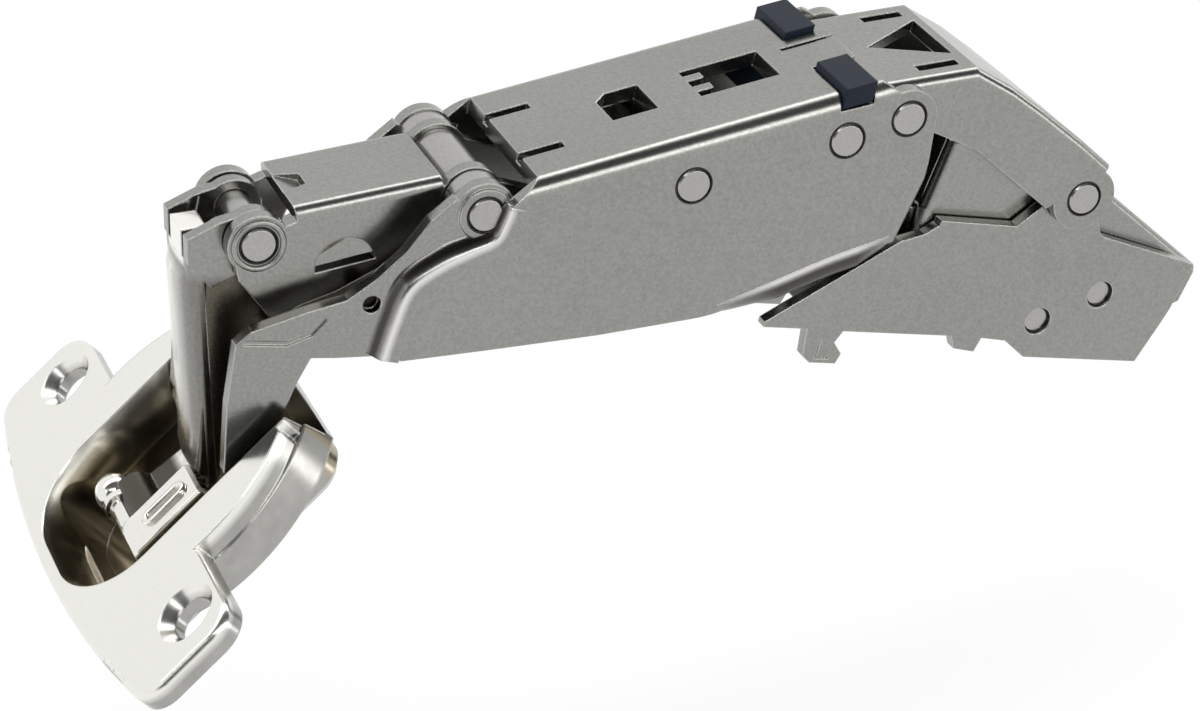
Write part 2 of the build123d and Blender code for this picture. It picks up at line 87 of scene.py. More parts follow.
class Wire:
    """A shader value that Python's operators add, subtract, multiply and divide."""

    def __init__(self, book: "NodeBook", socket: bpy.types.NodeSocket) -> None:
        """Keep the socket and the book that owns its tree."""
        self.book = book
        self.socket = socket

    def _math(self, operation: str, first: Any, second: Any) -> "Wire":
        """One Math node on two values or wires."""
        return self.book.add("ShaderNodeMath", {"operation": operation}, {0: first, 1: second})

    def __add__(self, other: Any) -> "Wire":
        """Sum."""
        return self._math("ADD", self, other)

    def __radd__(self, other: Any) -> "Wire":
        """Sum with a number on the left."""
        return self._math("ADD", other, self)

    def __sub__(self, other: Any) -> "Wire":
        """Difference."""
        return self._math("SUBTRACT", self, other)

    def __rsub__(self, other: Any) -> "Wire":
        """Difference with a number on the left."""
        return self._math("SUBTRACT", other, self)

    def __mul__(self, other: Any) -> "Wire":
        """Product."""
        return self._math("MULTIPLY", self, other)

    def __rmul__(self, other: Any) -> "Wire":
        """Product with a number on the left."""
        return self._math("MULTIPLY", other, self)

    def __truediv__(self, other: Any) -> "Wire":
        """Quotient."""
        return self._math("DIVIDE", self, other)

    def __rtruediv__(self, other: Any) -> "Wire":
        """Quotient with a number on the left."""
        return self._math("DIVIDE", other, self)

    def clamp(self) -> "Wire":
        """The value held between nought and one."""
        return self.book.add("ShaderNodeClamp", {}, {"Value": self})

    def over(self, start: Any, slope: float) -> "Wire":
        """How far the value is past a start, times a slope, between nought and one."""
        return ((self - start) * slope).clamp()

    def under(self, start: Any, slope: float) -> "Wire":
        """How far the value is short of a start, times a slope, between nought and one."""
        return ((start - self) * slope).clamp()

    def scaled(self, base: float, gain: float) -> "Wire":
        """A base with the value added at a gain."""
        return base + self * gain

    def about(self, middle: float, spread: float) -> "Wire":
        """A noise value spread about another middle."""
        return middle + (self - NOISE_MIDDLE) * spread


class NodeBook:
    """Builds one node tree: a material's, the world's or a geometry tree."""

    def __init__(self, tree: bpy.types.NodeTree) -> None:
        """Start from an empty tree."""
        self.tree = tree
        self.tree.nodes.clear()

    def node(self, kind: str, settings: dict[str, Any], inputs: dict[Any, Any]) -> bpy.types.Node:
        """Add any node.

        Args:
            kind: Blender's node type.
            settings: Properties set first.
            inputs: Socket name or number to a value, a wire or a socket.

        Returns:
            The new node.
        """
        made = self.tree.nodes.new(kind)
        for key, value in settings.items():
            setattr(made, key, value)
        for key, value in inputs.items():
            source = value.socket if isinstance(value, Wire) else value
            if isinstance(source, bpy.types.NodeSocket):
                self.tree.links.new(source, made.inputs[key])
            else:
                made.inputs[key].default_value = source
        return made

    def add(self, kind: str, settings: dict[str, Any], inputs: dict[Any, Any], out: Any = 0) -> Wire:
        """Add any node and take one of its outputs, by name or number."""
        return Wire(self, self.node(kind, settings, inputs).outputs[out])

    def mix(self, factor: Any, low: Any, high: Colour) -> Wire:
        """Blend a colour, plain or of the tree, towards a plain one.

        Args:
            factor: Share of the second colour.
            low: First colour.
            high: Second colour.

        Returns:
            The blended colour.
        """
        settings = {"data_type": "RGBA", "blend_type": "MIX"}
        first = low if isinstance(low, Wire) else (*low, 1.0)
        return self.add("ShaderNodeMix", settings, {0: factor, 6: first, 7: (*high, 1.0)}, 2)

    def noise(self, vector: Wire, scale: float, rough: float = 0.5, detail: float = 3.0) -> Wire:
        """Noise about one half, read at a vector, with a frequency per metre and octaves."""
        inputs = {"Vector": vector, "Scale": scale, "Detail": detail, "Roughness": rough}
        return self.add("ShaderNodeTexNoise", {}, inputs)

    def rounded(self, radius: float, samples: int = 6) -> Wire:
        """Normals softened over the sharp edges, as on a tumbled and plated piece."""
        return self.add("ShaderNodeBevel", {"samples": samples}, {"Radius": radius})

    def vector(self, operation: str, first: Any, second: Any, out: Any = 0) -> Wire:
        """One Vector Math node on two vectors."""
        return self.add("ShaderNodeVectorMath", {"operation": operation}, {0: first, 1: second}, out)

    def edges(self, soft: Wire, gain: float) -> Wire:
        """Mask of the softened edges.

        Args:
            soft: Softened normals.
            gain: How sharply the mask rises.

        Returns:
            One on an edge, nought on a flat face.
        """
        true = self.add("ShaderNodeNewGeometry", {}, {}, "True Normal")
        match = self.vector("DOT_PRODUCT", soft, true, "Value")
        return match.under(1.0, gain)

    def place(self) -> Wire:
        """Object coordinates."""
        return self.add("ShaderNodeTexCoord", {}, {}, "Object")

    def off(self, place: Place) -> Wire:
        """Object coordinates measured from a place given in mm."""
        return self.vector("SUBTRACT", self.place(), to_metres(place))

    def stretched(self, scale: Place) -> Wire:
        """Object coordinates, scaled differently along each axis."""
        return self.add("ShaderNodeMapping", {}, {"Vector": self.place(), "Scale": scale})

    def along(self, off: Wire, way: Place) -> Wire:
        """Distance along a direction, in mm."""
        return self.vector("DOT_PRODUCT", off, way, "Value") / MM

    def size(self, value: Wire) -> Wire:
        """A value without its sign."""
        return self.add("ShaderNodeMath", {"operation": "ABSOLUTE"}, {0: value})

    def shown(self) -> Wire:
        """Pick out the rays that show the background.

        Returns:
            One for what is seen, mirrored or seen through glass.
        """
        path = self.node("ShaderNodeLightPath", {}, {})
        rays = ("Is Camera Ray", "Is Glossy Ray", "Is Transmission Ray")
        seen, mirrored, through = (Wire(self, path.outputs[ray]) for ray in rays)
        return (seen + mirrored + through).clamp()

    def surface(self, shader: Wire, output: str = "ShaderNodeOutputMaterial") -> None:
        """Send a shader to the tree's output."""
        self.node(output, {}, {"Surface": shader})


Tones = tuple[tuple[Wire, Colour], ...]


def new_material(name: str) -> tuple[bpy.types.Material, NodeBook]:
    """Start a material.

    Args:
        name: Name of the material.

    Returns:
        The material, and the book of its empty tree.
    """
    made = bpy.data.materials.new(name)
    made.use_nodes = True
    return made, NodeBook(made.node_tree)


@dataclass(frozen=True)
class PlatedSheet:
    """Satin nickel plate over rolled and pressed sheet steel; pairs are a base and a gain."""

    name: str = "satin_nickel_sheet"
    colour: Colour = (0.336, 0.334, 0.316)
    deep: Colour = (0.246, 0.244, 0.228)
    edge_highlight: Colour = (0.78, 0.765, 0.72)
    roughness: float = 0.23
    spread: float = 0.10
    grain: float = 0.16
    edge: float = 0.28
    mottle: float = 2.3
    cloud_scale: float = 60.0
    cloud_tones: Flat = (0.55, 0.5)
    speck_scale: float = 2600.0
    speck_rough: float = 0.75
    rolled_scale: float = 5200.0
    rolled_stretch: Place = (0.18, 1.0, 1.0)
    edge_gain: float = 3.0
    edge_highlight_cloud: Flat = (0.3, 0.8)
    edge_polish: float = 0.08
    relief: float = 0.02

    def tones(self, book: NodeBook) -> Tones:
        """Local tones of the plate; plain sheet has none."""
        return ()

    def build(self) -> bpy.types.Material:
        """Make the material.

        Returns:
            The finished material.
        """
        made, book = new_material(self.name)
        along = book.place()
        rolled = book.noise(book.stretched(self.rolled_stretch), self.rolled_scale)
        cloud = book.noise(along, self.cloud_scale)
        speck = book.noise(along, self.speck_scale, self.speck_rough)
        soft = book.rounded(self.edge * MM)
        # Painted highlight: the softened edges are lightened towards the edge highlight colour.
        bright = book.edges(soft, self.edge_gain) * cloud.scaled(*self.edge_highlight_cloud)
        tone = cloud.about(*self.cloud_tones) + (speck - NOISE_MIDDLE) * self.mottle
        colour = book.mix(tone.clamp(), self.deep, self.colour)
        for mask, local in (*self.tones(book), (bright.clamp(), self.edge_highlight)):
            colour = book.mix(mask, colour, local)
        rough = rolled.about(self.roughness, self.spread) + (cloud - NOISE_MIDDLE) * self.spread
        rough = rough - bright * self.edge_polish
        bumps = {"Strength": self.grain, "Distance": self.relief * MM, "Height": speck + rolled}
        relief = book.add("ShaderNodeBump", {}, {**bumps, "Normal": soft})
        skin = {"Base Color": colour, "Metallic": 1.0, "Roughness": rough, "Normal": relief}
        shader = book.add("ShaderNodeBsdfPrincipled", {}, skin)
        book.surface(shader)
        return made


@dataclass(frozen=True)
class PlatedLever(PlatedSheet):
    """The outer lever's plate, with painted shade inside the small pressed hole; pairs are ends and
    slopes.
    """

    name: str = "satin_nickel_lever"
    hole: Place = (-86.6, 0.0, 4.0)
    hole_radius: Flat = (1.0, 20.0)
    hole_half: Flat = (9.93, 20.0)
    painted_hole_shade: Colour = (0.020, 0.018, 0.015)

    def tones(self, book: NodeBook) -> Tones:
        """Paint shade on the small hole's floor.

        Args:
            book: Tree of the material.

        Returns:
            Masks with their colours, in the order they are laid.
        """
        off = book.off(self.hole)
        flat = book.vector("MULTIPLY", off, (1.0, 0.0, 1.0))
        away = book.add("ShaderNodeVectorMath", {"operation": "LENGTH"}, {0: flat}, "Value") / MM
        across = book.size(book.along(off, ACROSS))
        mask = away.under(*self.hole_radius) * across.under(*self.hole_half)
        return ((mask, self.painted_hole_shade),)


@dataclass(frozen=True)
class PlatedArm(PlatedSheet):
    """The inner lever's plate, with painted shade towards the gap; the gap's ends are places and slopes.
    """

    name: str = "satin_nickel_arm"
    gap_end: Place = (-92.6, 0.0, 1.6)
    gap_way: Flat = (0.866, 0.5)
    gap_reach: float = 1.5
    gap_growth: float = 0.17
    gap_slope: float = 0.45
    gap_front: Flat = (-4.0, 0.4)
    gap_rear: Flat = (16.5, 0.8)
    painted_gap_shade: Colour = (0.028, 0.026, 0.022)

    def tones(self, book: NodeBook) -> Tones:
        """Paint shade on the strip along the gap.

        Args:
            book: Tree of the material.

        Returns:
            Masks with their colours, in the order they are laid.
        """
        off = book.off(self.gap_end)
        way = book.along(off, (self.gap_way[0], 0.0, self.gap_way[1]))
        height = book.along(off, (-self.gap_way[1], 0.0, self.gap_way[0]))
        strip = height.under(way * self.gap_growth + self.gap_reach, self.gap_slope)
        ends = way.over(*self.gap_front) * way.under(*self.gap_rear)
        return ((strip * ends, self.painted_gap_shade),)


@dataclass(frozen=True)
class PlatedFold(PlatedSheet):
    """A pressed fold's plate: painted highlight on its crest, painted shade in its crease."""

    name: str = "satin_nickel_fold"
    crest: float = 0.26
    crest_width: Flat = (0.22, 5.0)
    crest_share: float = 0.85
    crease: float = 0.70
    crease_width: Flat = (0.24545, 5.5)
    crease_share: float = 0.9
    crest_highlight: Colour = (0.80, 0.79, 0.77)
    crease_shade: Colour = (0.045, 0.041, 0.036)

    def tones(self, book: NodeBook) -> Tones:
        """Lay the painted highlight on the crest and the painted shade in the crease along the fold.

        Args:
            book: Tree of the material.

        Returns:
            Masks with their colours, in the order they are laid.
        """
        down = book.add("ShaderNodeAttribute", {"attribute_name": FOLD_SHARE}, {}, "Fac")
        ends = book.add("ShaderNodeAttribute", {"attribute_name": FOLD_FADE}, {}, "Fac")
        bright = book.size(down - self.crest).under(*self.crest_width) * ends * self.crest_share
        dark = book.size(down - self.crease).under(*self.crease_width) * ends * self.crease_share
        return (bright, self.crest_highlight), (dark, self.crease_shade)


@dataclass(frozen=True)
class PlatedLink(PlatedSheet):
    """The front link's plate: streaked strap with a painted highlight, painted shade on its near side and
    foot; pairs are starts and slopes.
    """

    name: str = "satin_nickel_link"
    eye: Place = (-98.1, 0.0, 8.0)
    strap_below: Flat = (4.2, 0.8)
    bridge_half: Flat = (2.75, 6.0)
    bridge_ahead: Flat = (2.6, 2.0)
    bridge_above: Flat = (4.4, 2.0)
    lit_from: Flat = (-3.0, 0.3)
    shaded_from: Flat = (-2.5, 0.5)
    foot_before: Flat = (-0.4, 1.0)
    foot_below: Flat = (-0.3, 1.2)
    streak_scale: float = 900.0
    streak_rough: float = 0.6
    streak_stretch: Place = (0.6, 1.0, 0.05)
    lit_streak: Flat = (0.35, 0.9)
    shade_streak: Flat = (0.2, 0.6)
    shade_share: float = 0.92
    painted_link_highlight: Colour = (0.90, 0.885, 0.845)
    painted_link_shade: Colour = (0.060, 0.053, 0.040)

    def tones(self, book: NodeBook) -> Tones:
        """Lay the streaked painted highlight and the painted shade.

        Args:
            book: Tree of the material.

        Returns:
            Masks with their colours, in the order they are laid.
        """
        from_eye, from_mouth = book.off(self.eye), book.off(CUP.mouth)
        across = book.along(book.place(), ACROSS)
        ahead = book.along(from_eye, (-1.0, 0.0, 0.0))
        below = book.along(from_eye, (0.0, 0.0, -1.0))
        streak = book.noise(book.stretched(self.streak_stretch), self.streak_scale, self.streak_rough)
        strap = below.over(*self.strap_below)
        bridge = book.size(across).under(*self.bridge_half) * ahead.over(*self.bridge_ahead)
        bridge = bridge * below.under(*self.bridge_above)
        foot = book.along(from_mouth, CUP.along()).under(*self.foot_before)
        in_cup = book.along(from_mouth, CUP.up()).under(*self.foot_below) * foot
        # Painted highlight on the strap's far side and bridge; painted shade on its near side and on the
        # foot inside the cup.
        light = across.over(*self.lit_from) * strap * streak.scaled(*self.lit_streak) * (1.0 - foot)
        near_side = across.under(*self.shaded_from) * strap * streak.scaled(*self.shade_streak)
        shade_mask = (near_side + in_cup).clamp() * self.shade_share
        return ((light + bridge).clamp(), self.painted_link_highlight), (shade_mask, self.painted_link_shade)


@dataclass(frozen=True)
class PlatedCasting(PlatedSheet):
    """Bright nickel plate over a polished die-casting; the well's limits are places and slopes."""

    name: str = "bright_nickel_casting"
    colour: Colour = (0.85, 0.845, 0.805)
    deep: Colour = (0.79, 0.78, 0.735)
    edge_highlight: Colour = (0.90, 0.89, 0.86)
    roughness: float = 0.20
    spread: float = 0.06
    grain: float = 0.05
    edge: float = 0.36
    mottle: float = 1.2
    below_flange_tone: Colour = (0.33, 0.326, 0.308)
    well_brown: Colour = (0.41, 0.365, 0.28)
    below_flange_from: Flat = (-0.6, 1.1)
    well_from: Flat = (-0.5, 0.55)
    well_floor: Flat = (-9.7, 4.0)
    well_front: Flat = (-16.5, 3.0)
    well_back: Flat = (13.9, 3.0)
    well_half: Flat = (11.9, 3.0)
    cup_cloud_scale: float = 350.0
    cup_cloud_rough: float = 0.6
    below_flange_cloud: Flat = (0.7, 0.4)
    well_cloud: Flat = (0.6, 0.6)

    def tones(self, book: NodeBook) -> Tones:
        """Darken the skin below the flange and tint the well brown.

        Args:
            book: Tree of the material.

        Returns:
            Masks with their colours, in the order they are laid.
        """
        off = book.off(CUP.mouth)
        height = book.along(off, CUP.up())
        along = book.along(off, CUP.along())
        across = book.size(book.along(off, ACROSS))
        cloud = book.noise(book.place(), self.cup_cloud_scale, self.cup_cloud_rough)
        below = height.under(*self.below_flange_from) * cloud.scaled(*self.below_flange_cloud)
        deep = height.under(*self.well_from) * height.over(*self.well_floor)
        inside = across.under(*self.well_half)
        inside = inside * along.over(*self.well_front) * along.under(*self.well_back)
        well_tint = deep * inside * cloud.scaled(*self.well_cloud)
        return (below, self.below_flange_tone), (well_tint.clamp(), self.well_brown)


@dataclass(frozen=True)
class PaintedShadeSheet(PlatedSheet):
    """Dark plate of painted shade, for sheet faces that sit in shadow."""

    name: str = "painted_shade_sheet"
    colour: Colour = (0.150, 0.137, 0.108)
    deep: Colour = (0.072, 0.065, 0.050)
    edge_highlight: Colour = (0.30, 0.29, 0.26)
    roughness: float = 0.30
    edge: float = 0.15


@dataclass(frozen=True)
class FootPlate(PlatedSheet):
    """Bright nickel plate of the link's foot, axle and wire."""

    name: str = "bright_nickel_foot"
    colour: Colour = (0.86, 0.85, 0.81)
    deep: Colour = (0.76, 0.75, 0.70)
    edge_highlight: Colour = (0.92, 0.91, 0.88)
    roughness: float = 0.16
    spread: float = 0.06
    grain: float = 0.06
    edge: float = 0.12
    mottle: float = 1.2


@dataclass(frozen=True)
class TurnedPin(PlatedSheet):
    """Bright nickel plate over turned pins."""

    name: str = "turned_pin_steel"
    colour: Colour = (0.42, 0.415, 0.40)
    deep: Colour = (0.36, 0.355, 0.34)
    edge_highlight: Colour = (0.70, 0.69, 0.66)
    roughness: float = 0.24
    spread: float = 0.10
    grain: float = 0.08
    edge: float = 0.10


@dataclass(frozen=True)
class MouldedPlastic:
    """Dark blue-grey moulded plastic with a fine matt skin."""

    name: str = "dark_moulded_plastic"
    colour: Colour = (0.013, 0.019, 0.031)
    deep: Colour = (0.007, 0.011, 0.020)
    skin_scale: float = 3500.0
    skin_rough: float = 0.6
    cloud_scale: float = 150.0
    cloud_detail: float = 2.0
    edge: float = 0.3
    grain: float = 0.25
    relief: float = 0.03
    roughness: Flat = (0.5, 0.2)
    specular: float = 0.16

    def build(self) -> bpy.types.Material:
        """Make the material.

        Returns:
            The finished material.
        """
        made, book = new_material(self.name)
        along = book.place()
        skin = book.noise(along, self.skin_scale, self.skin_rough)
        cloud = book.noise(along, self.cloud_scale, detail=self.cloud_detail)
        bumps = {"Strength": self.grain, "Distance": self.relief * MM, "Height": skin}
        relief = book.add("ShaderNodeBump", {}, {**bumps, "Normal": book.rounded(self.edge * MM)})
        inputs = {
            "Base Color": book.mix(cloud, self.deep, self.colour),
            "Roughness": skin.about(*self.roughness),
            "Specular IOR Level": self.specular,
            "Normal": relief,
        }
        shader = book.add("ShaderNodeBsdfPrincipled", {}, inputs)
        book.surface(shader)
        return made


@dataclass(frozen=True)
class RivetGapShade:
    """Painted shade: a dark ring standing for the shadowed gap round a rivet."""

    name: str = "rivet_gap_painted_shade"
    colour: Colour = (0.060, 0.057, 0.052)
    deep: Colour = (0.014, 0.013, 0.012)
    gap_noise_scale: float = 2500.0
    gap_noise_rough: float = 0.6
    grain: float = 0.3
    relief: float = 0.03
    roughness: Flat = (0.35, 0.3)

    def build(self) -> bpy.types.Material:
        """Make the material.

        Returns:
            The finished material.
        """
        made, book = new_material(self.name)
        gap_noise = book.noise(book.place(), self.gap_noise_scale, self.gap_noise_rough)
        bumps = {"Strength": self.grain, "Distance": self.relief * MM, "Height": gap_noise}
        inputs = {
            "Base Color": book.mix(gap_noise, self.deep, self.colour),
            "Metallic": 1.0,
            "Roughness": gap_noise.about(*self.roughness),
            "Normal": book.add("ShaderNodeBump", {}, bumps),
        }
        shader = book.add("ShaderNodeBsdfPrincipled", {}, inputs)
        book.surface(shader)
        return made


class Finish(Enum):
    """Finishes of the hinge's pieces."""

    SHEET = PlatedSheet()
    LEVER = PlatedLever()
    ARM = PlatedArm()
    FOLD = PlatedFold()
    LINK = PlatedLink()
    CASTING = PlatedCasting()
    OILED = PaintedShadeSheet()
    FOOT = FootPlate()
    PIN = TurnedPin()
    PLASTIC = MouldedPlastic()
    GAP = RivetGapShade()


@dataclass
class FinishShelf:
    """Makes each finish once and hands it out."""

    made: dict[Finish, bpy.types.Material] = field(default_factory=dict)

    def take(self, finish: Finish) -> bpy.types.Material:
        """Hand out a finish, made on first use.

        Args:
            finish: Which finish.

        Returns:
            Its material.
        """
        if finish not in self.made:
            self.made[finish] = finish.value.build()
        return self.made[finish]


@dataclass
class SolidDress:
    """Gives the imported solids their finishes."""

    shelf: FinishShelf
    special: dict[str, Finish] = field(
        default_factory=lambda: {
            "cup": Finish.CASTING,
            "guide_block": Finish.PLASTIC,
            "outer_lever": Finish.LEVER,
            "inner_lever": Finish.ARM,
            "front_link": Finish.LINK,
        }
    )
    turned: tuple[str, ...] = ("axle", "pin", "bush", "sleeve")

    def finish_of(self, node: str) -> Finish:
        """Choose a node's finish.

        Args:
            node: Name of the node.

        Returns:
            Its own finish, a turned pin's or the sheet's.
        """
        if node in self.special:
            return self.special[node]
        return Finish.PIN if any(word in self.turned for word in node.split("_")) else Finish.SHEET

    def dress(self) -> None:
        """Assign a material to every node."""
        for node, solid in sorted(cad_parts.items()):
            finish = self.finish_of(node)
            solid.data.materials.clear()
            solid.data.materials.append(self.shelf.take(finish))
            LOG.info("%s dressed in %s", node, finish.name.lower())


class Body(Enum):
    """Moving bodies that carry added pieces."""

    BASE = "base"
    OUTER = "outer_lever"
    INNER = "inner_lever"
    LINK = "front_link"


def settle(piece: bpy.types.Object, body: Body) -> None:
    """Hand a finished piece to its body.

    Args:
        piece: Object with its place in its mesh.
        body: Body that carries it.
    """
    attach(piece, body.value)
    LOG.info("%s rides on %s, %d faces", piece.name, body.value, len(piece.data.polygons))


def linked(name: str, data: Any) -> bpy.types.Object:
    """Put a mesh, curve, lamp or camera in the scene.

    Args:
        name: Name of the object.
        data: What it holds.

    Returns:
        The object, at the origin.
    """
    made = bpy.data.objects.new(name, data)
    bpy.context.scene.collection.objects.link(made)
    return made


def evaluated_copy(source: bpy.types.Object, name: str) -> bpy.types.Object:
    """Turn an object with live modifiers or curves into a plain mesh piece.

    Args:
        source: Object to evaluate, which is removed afterwards.
        name: Name of the new piece.

    Returns:
        The plain piece, linked to the scene.
    """
    graph = bpy.context.evaluated_depsgraph_get()
    mesh = bpy.data.meshes.new_from_object(source.evaluated_get(graph), depsgraph=graph)
    mesh.name = name
    bpy.data.objects.remove(source)
    return linked(name, mesh)


def smooth_line(points: tuple[Flat, ...], steps: int) -> list[tuple[Vector, Vector]]:
    """Follow a smooth line through side view points.

    Args:
        points: Places to pass through, in mm.
        steps: Stretches between two places.

    Returns:
        Each place on the line with the direction square to it, on the left, in the side view.
    """
    padded = (points[0], *points, points[-1])
    line = []
    for a, b, c, d in zip(padded, padded[1:], padded[2:], padded[3:]):
        for k in range(steps):
            t = k / steps
            weights = (
                -t + 2 * t**2 - t**3,
                2 - 5 * t**2 + 3 * t**3,
                t + 4 * t**2 - 3 * t**3,
                t**3 - t**2,
            )
            line.append([0.5 * sum(w * v for w, v in zip(weights, values)) for values in zip(a, b, c, d)])
    line.append(list(points[-1]))
    places = [Vector((x, 0.0, z)) for x, z in line]
    found = []
    for k, place in enumerate(places):
        run = (places[min(k + 1, len(places) - 1)] - places[max(k - 1, 0)]).normalized()
        found.append((place, Vector((-run.z, 0.0, run.x))))
    return found


def finished(book: bmesh.types.BMesh, name: str, material: bpy.types.Material) -> bpy.types.Object:
    """Turn a bmesh into a smooth closed piece with its faces outwards.

    Args:
        book: Mesh being built, freed here.
        name: Name of the piece.
        material: Its finish.

    Returns:
        The piece, linked to the scene.
    """
    bmesh.ops.remove_doubles(book, verts=book.verts, dist=WELD)
    bmesh.ops.recalc_face_normals(book, faces=book.faces)
    for face in book.faces:
        face.smooth = True
    mesh = bpy.data.meshes.new(name)
    book.to_mesh(mesh)
    book.free()
    mesh.set_sharp_from_angle(angle=SHARP)
    mesh.materials.append(material)
    return linked(name, mesh)


def add_loft(book: bmesh.types.BMesh, sections: list[list[Vector]]) -> None:
    """Join closed sections of equal count, given in mm, and cap both ends.

    Args:
        book: Mesh that takes the loft.
        sections: Loops of points, one after the other.
    """
    rings = [[book.verts.new(point * MM) for point in section] for section in sections]
    for low, high in zip(rings, rings[1:]):
        for k in range(len(low)):
            after = (k + 1) % len(low)
            book.faces.new((low[k], low[after], high[after], high[k]))
    book.faces.new(rings[0])
    book.faces.new(rings[-1])


def lofted_pair(
    name: str,
    material: bpy.types.Material,
    line: list[tuple[Vector, Vector]],
    shapes: list[list[Flat]],
) -> bpy.types.Object:
    """Loft cross-sections along a line, the same on both sides of the hinge.

    Args:
        name: Name of the piece.
        material: Its finish.
        line: Places with the directions square to the line.
        shapes: One section for each place: how far along the direction and from the middle, in mm.

    Returns:
        Both forms as one piece.
    """
    book = bmesh.new()
    for side in SIDES:
        sections = []
        for (place, way), shape in zip(line, shapes):
            sections.append([place + way * off + Vector((0.0, side * half, 0.0)) for off, half in shape])
        add_loft(book, sections)
    return finished(book, name, material)


def add_plate(book: bmesh.types.BMesh, outline: list[Flat], faces: Flat, edge: float) -> None:
    """Add a plate with a side view outline and broken edges.

    Args:
        book: Mesh that takes the plate.
        outline: Side view corners in mm.
        faces: Where its two faces lie across the hinge.
        edge: Width of the broken edges.
    """
    loops = [[book.verts.new(Vector((x, y, z)) * MM) for x, z in outline] for y in faces]
    caps = [book.faces.new(loop) for loop in loops]
    sides = []
    for k in range(len(outline)):
        after = (k + 1) % len(outline)
        sides.append(book.faces.new((loops[0][k], loops[0][after], loops[1][after], loops[1][k])))
    bmesh.ops.recalc_face_normals(book, faces=caps + sides)
    rims = [line for cap in caps for line in cap.edges]
    shape = {"segments": BEVEL_STEPS, "profile": ROUND_PROFILE, "affect": "EDGES"}
    bmesh.ops.bevel(book, geom=rims, offset=edge * MM, **shape)


@dataclass(frozen=True)
class Rim:
    """One rivet seen from outside: side view place in mm, size beside the usual and outer face."""

    x: float
    z: float
    share: float
    half: float


@dataclass
class RivetRims:
    """Rings round the rivet heads, repeated by a geometry tree: dark rings of painted shade in the gaps,
    and raised collars.
    """

    shelf: FinishShelf
    gap_ring: float = 1.97
    gap_tube: float = 0.10
    collar_ring: float = 2.52
    collar_tube: float = 0.33
    small: float = 0.845
    ring_steps: int = 56
    tube_steps: int = 10

    def gaps(self) -> dict[Body, tuple[Rim, ...]]:
        """List the rivets that get a dark ring of painted shade in their gap.

        Returns:
            The rivets of each body.
        """
        return {
            Body.OUTER: (
                Rim(-76.8, 14.55, 1.0, 10.35),
                Rim(-55.4, 19.6, 1.0, 11.4),
                Rim(-39.3, 25.7, 1.0, 11.4),
                Rim(-32.8, 28.6, 1.0, 11.4),
            ),
            Body.INNER: (Rim(-98.1, 8.0, 1.0, 6.1),),
            Body.BASE: (
                Rim(-7.2, 20.13, 1.0, 9.5),
                Rim(0.05, 8.05, self.small, 7.36),
                Rim(-6.95, 4.45, self.small, 7.36),
            ),
        }

    def tree(self) -> tuple[bpy.types.NodeTree, dict[str, str]]:
        """Build the geometry tree.

        Returns:
            The tree, and its input names with their identifiers.
        """
        tree = bpy.data.node_groups.new("rivet_rings", "GeometryNodeTree")
        kinds = {
            "Geometry": "NodeSocketGeometry",
            "Ring radius": "NodeSocketFloat",
            "Tube radius": "NodeSocketFloat",
            "Finish": "NodeSocketMaterial",
        }
        names = {
            name: tree.interface.new_socket(name, in_out="INPUT", socket_type=kind).identifier
            for name, kind in kinds.items()
        }
        tree.interface.new_socket("Geometry", in_out="OUTPUT", socket_type="NodeSocketGeometry")
        book = NodeBook(tree)
        given = book.node("NodeGroupInput", {}, {}).outputs
        share = book.add("GeometryNodeInputNamedAttribute", {"data_type": "FLOAT"}, {"Name": "rim_share"})
        by_radius = {"mode": "RADIUS"}
        circle = "GeometryNodeCurvePrimitiveCircle"
        ring, tube = (
            book.add(circle, by_radius, {"Resolution": steps, "Radius": given[size]})
            for size, steps in (("Ring radius", self.ring_steps), ("Tube radius", self.tube_steps))
        )
        swept = book.add("GeometryNodeCurveToMesh", {}, {"Curve": ring, "Profile Curve": tube})
        smooth = book.add("GeometryNodeSetShadeSmooth", {}, {0: swept})
        upright = (math.pi / 2, 0.0, 0.0)
        copies = {"Points": given["Geometry"], "Instance": smooth, "Rotation": upright, "Scale": share}
        laid = book.add("GeometryNodeInstanceOnPoints", {}, copies)
        real = book.add("GeometryNodeRealizeInstances", {}, {"Geometry": laid})
        final = book.add("GeometryNodeSetMaterial", {}, {"Geometry": real, "Material": given["Finish"]})
        book.node("NodeGroupOutput", {}, {"Geometry": final})
        return tree, names

    def rings(self, name: str, rims: tuple[Rim, ...], sizes: Flat, finish: Finish) -> bpy.types.Object:
        """Lay rings on both sides of the hinge.

        Args:
            name: Name of the piece.
            rims: Rivets that get a ring.
            sizes: Ring and tube radius in mm.
            finish: Finish of the rings.

        Returns:
            The rings as one plain mesh.
        """
        tree, names = self.tree()
        places = [(rim, side) for rim in rims for side in SIDES]
        mesh = bpy.data.meshes.new(name)
        mesh.from_pydata([(r.x * MM, side * r.half * MM, r.z * MM) for r, side in places], [], [])
        shares = mesh.attributes.new("rim_share", "FLOAT", "POINT")
        shares.data.foreach_set("value", [r.share for r, _ in places])
        holder = linked(name, mesh)
        repeat = holder.modifiers.new("rings", "NODES")
        repeat.node_group = tree
        repeat[names["Ring radius"]] = sizes[0] * MM
        repeat[names["Tube radius"]] = sizes[1] * MM
        repeat[names["Finish"]] = self.shelf.take(finish)
        return evaluated_copy(holder, name)

    def build(self) -> None:
        """Make the painted-shade gap rings of each body and the collars of the front pivot."""
        for body, rims in self.gaps().items():
            name = f"rivet_rims_{body.name.lower()}"
            settle(self.rings(name, rims, (self.gap_ring, self.gap_tube), Finish.GAP), body)
        front = self.gaps()[Body.INNER]
        collars = self.rings("pivot_collars", front, (self.collar_ring, self.collar_tube), Finish.SHEET)
        settle(collars, Body.INNER)


